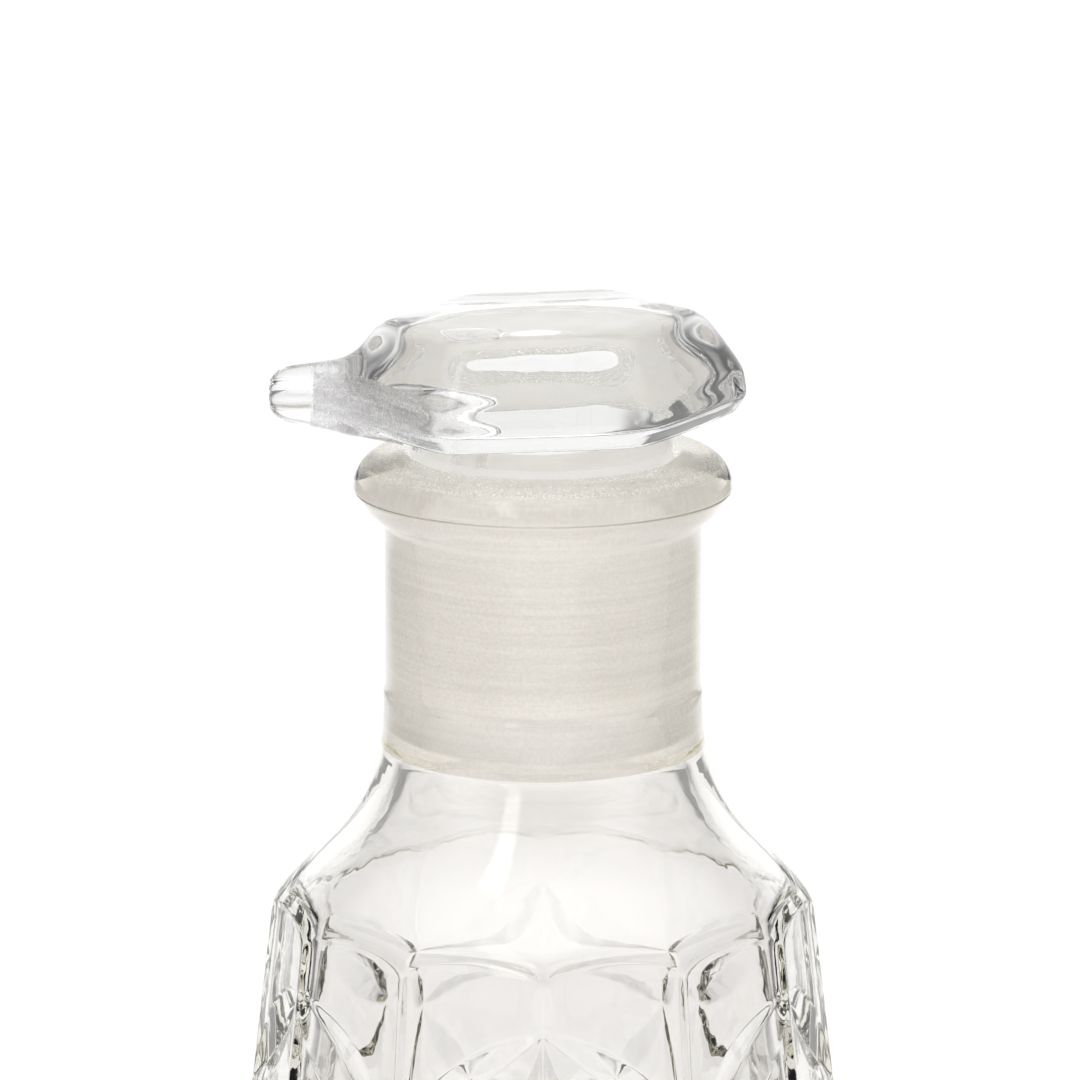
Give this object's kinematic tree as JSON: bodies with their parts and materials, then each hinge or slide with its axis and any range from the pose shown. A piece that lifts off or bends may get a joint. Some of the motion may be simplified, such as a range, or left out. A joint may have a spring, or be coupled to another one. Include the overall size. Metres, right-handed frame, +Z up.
{
  "type": "glass cruet",
  "caption": "Small clear glass pouring bottle with a facetted, leaf-cut body, a ground neck and a beaked glass stopper that lifts out.",
  "frame": {"origin": "centre of the foot, on the plane the bottle stands on", "axes": "+Z up along the bottle's axis; the stopper's beak points along -X; one ridge of the body faces -Y"},
  "size_m": [0.0586, 0.0586, 0.1106],
  "materials": {
    "bottle_glass": "clear glass with a faint warm tint, fire-polished outside, ground matt inside the neck",
    "stopper_glass": "clear neutral glass, fire-polished head, ground matt plug"
  },
  "bodies": {
    "bottle": {"bottle": "bottle_glass"},
    "stopper": {"stopper": "stopper_glass"}
  },
  "joints": [
    {"name": "stopper_lift", "type": "slide", "parent": "bottle", "child": "stopper", "axis": [0, 0, 1], "range_m": [0, 0.045]}
  ]
}
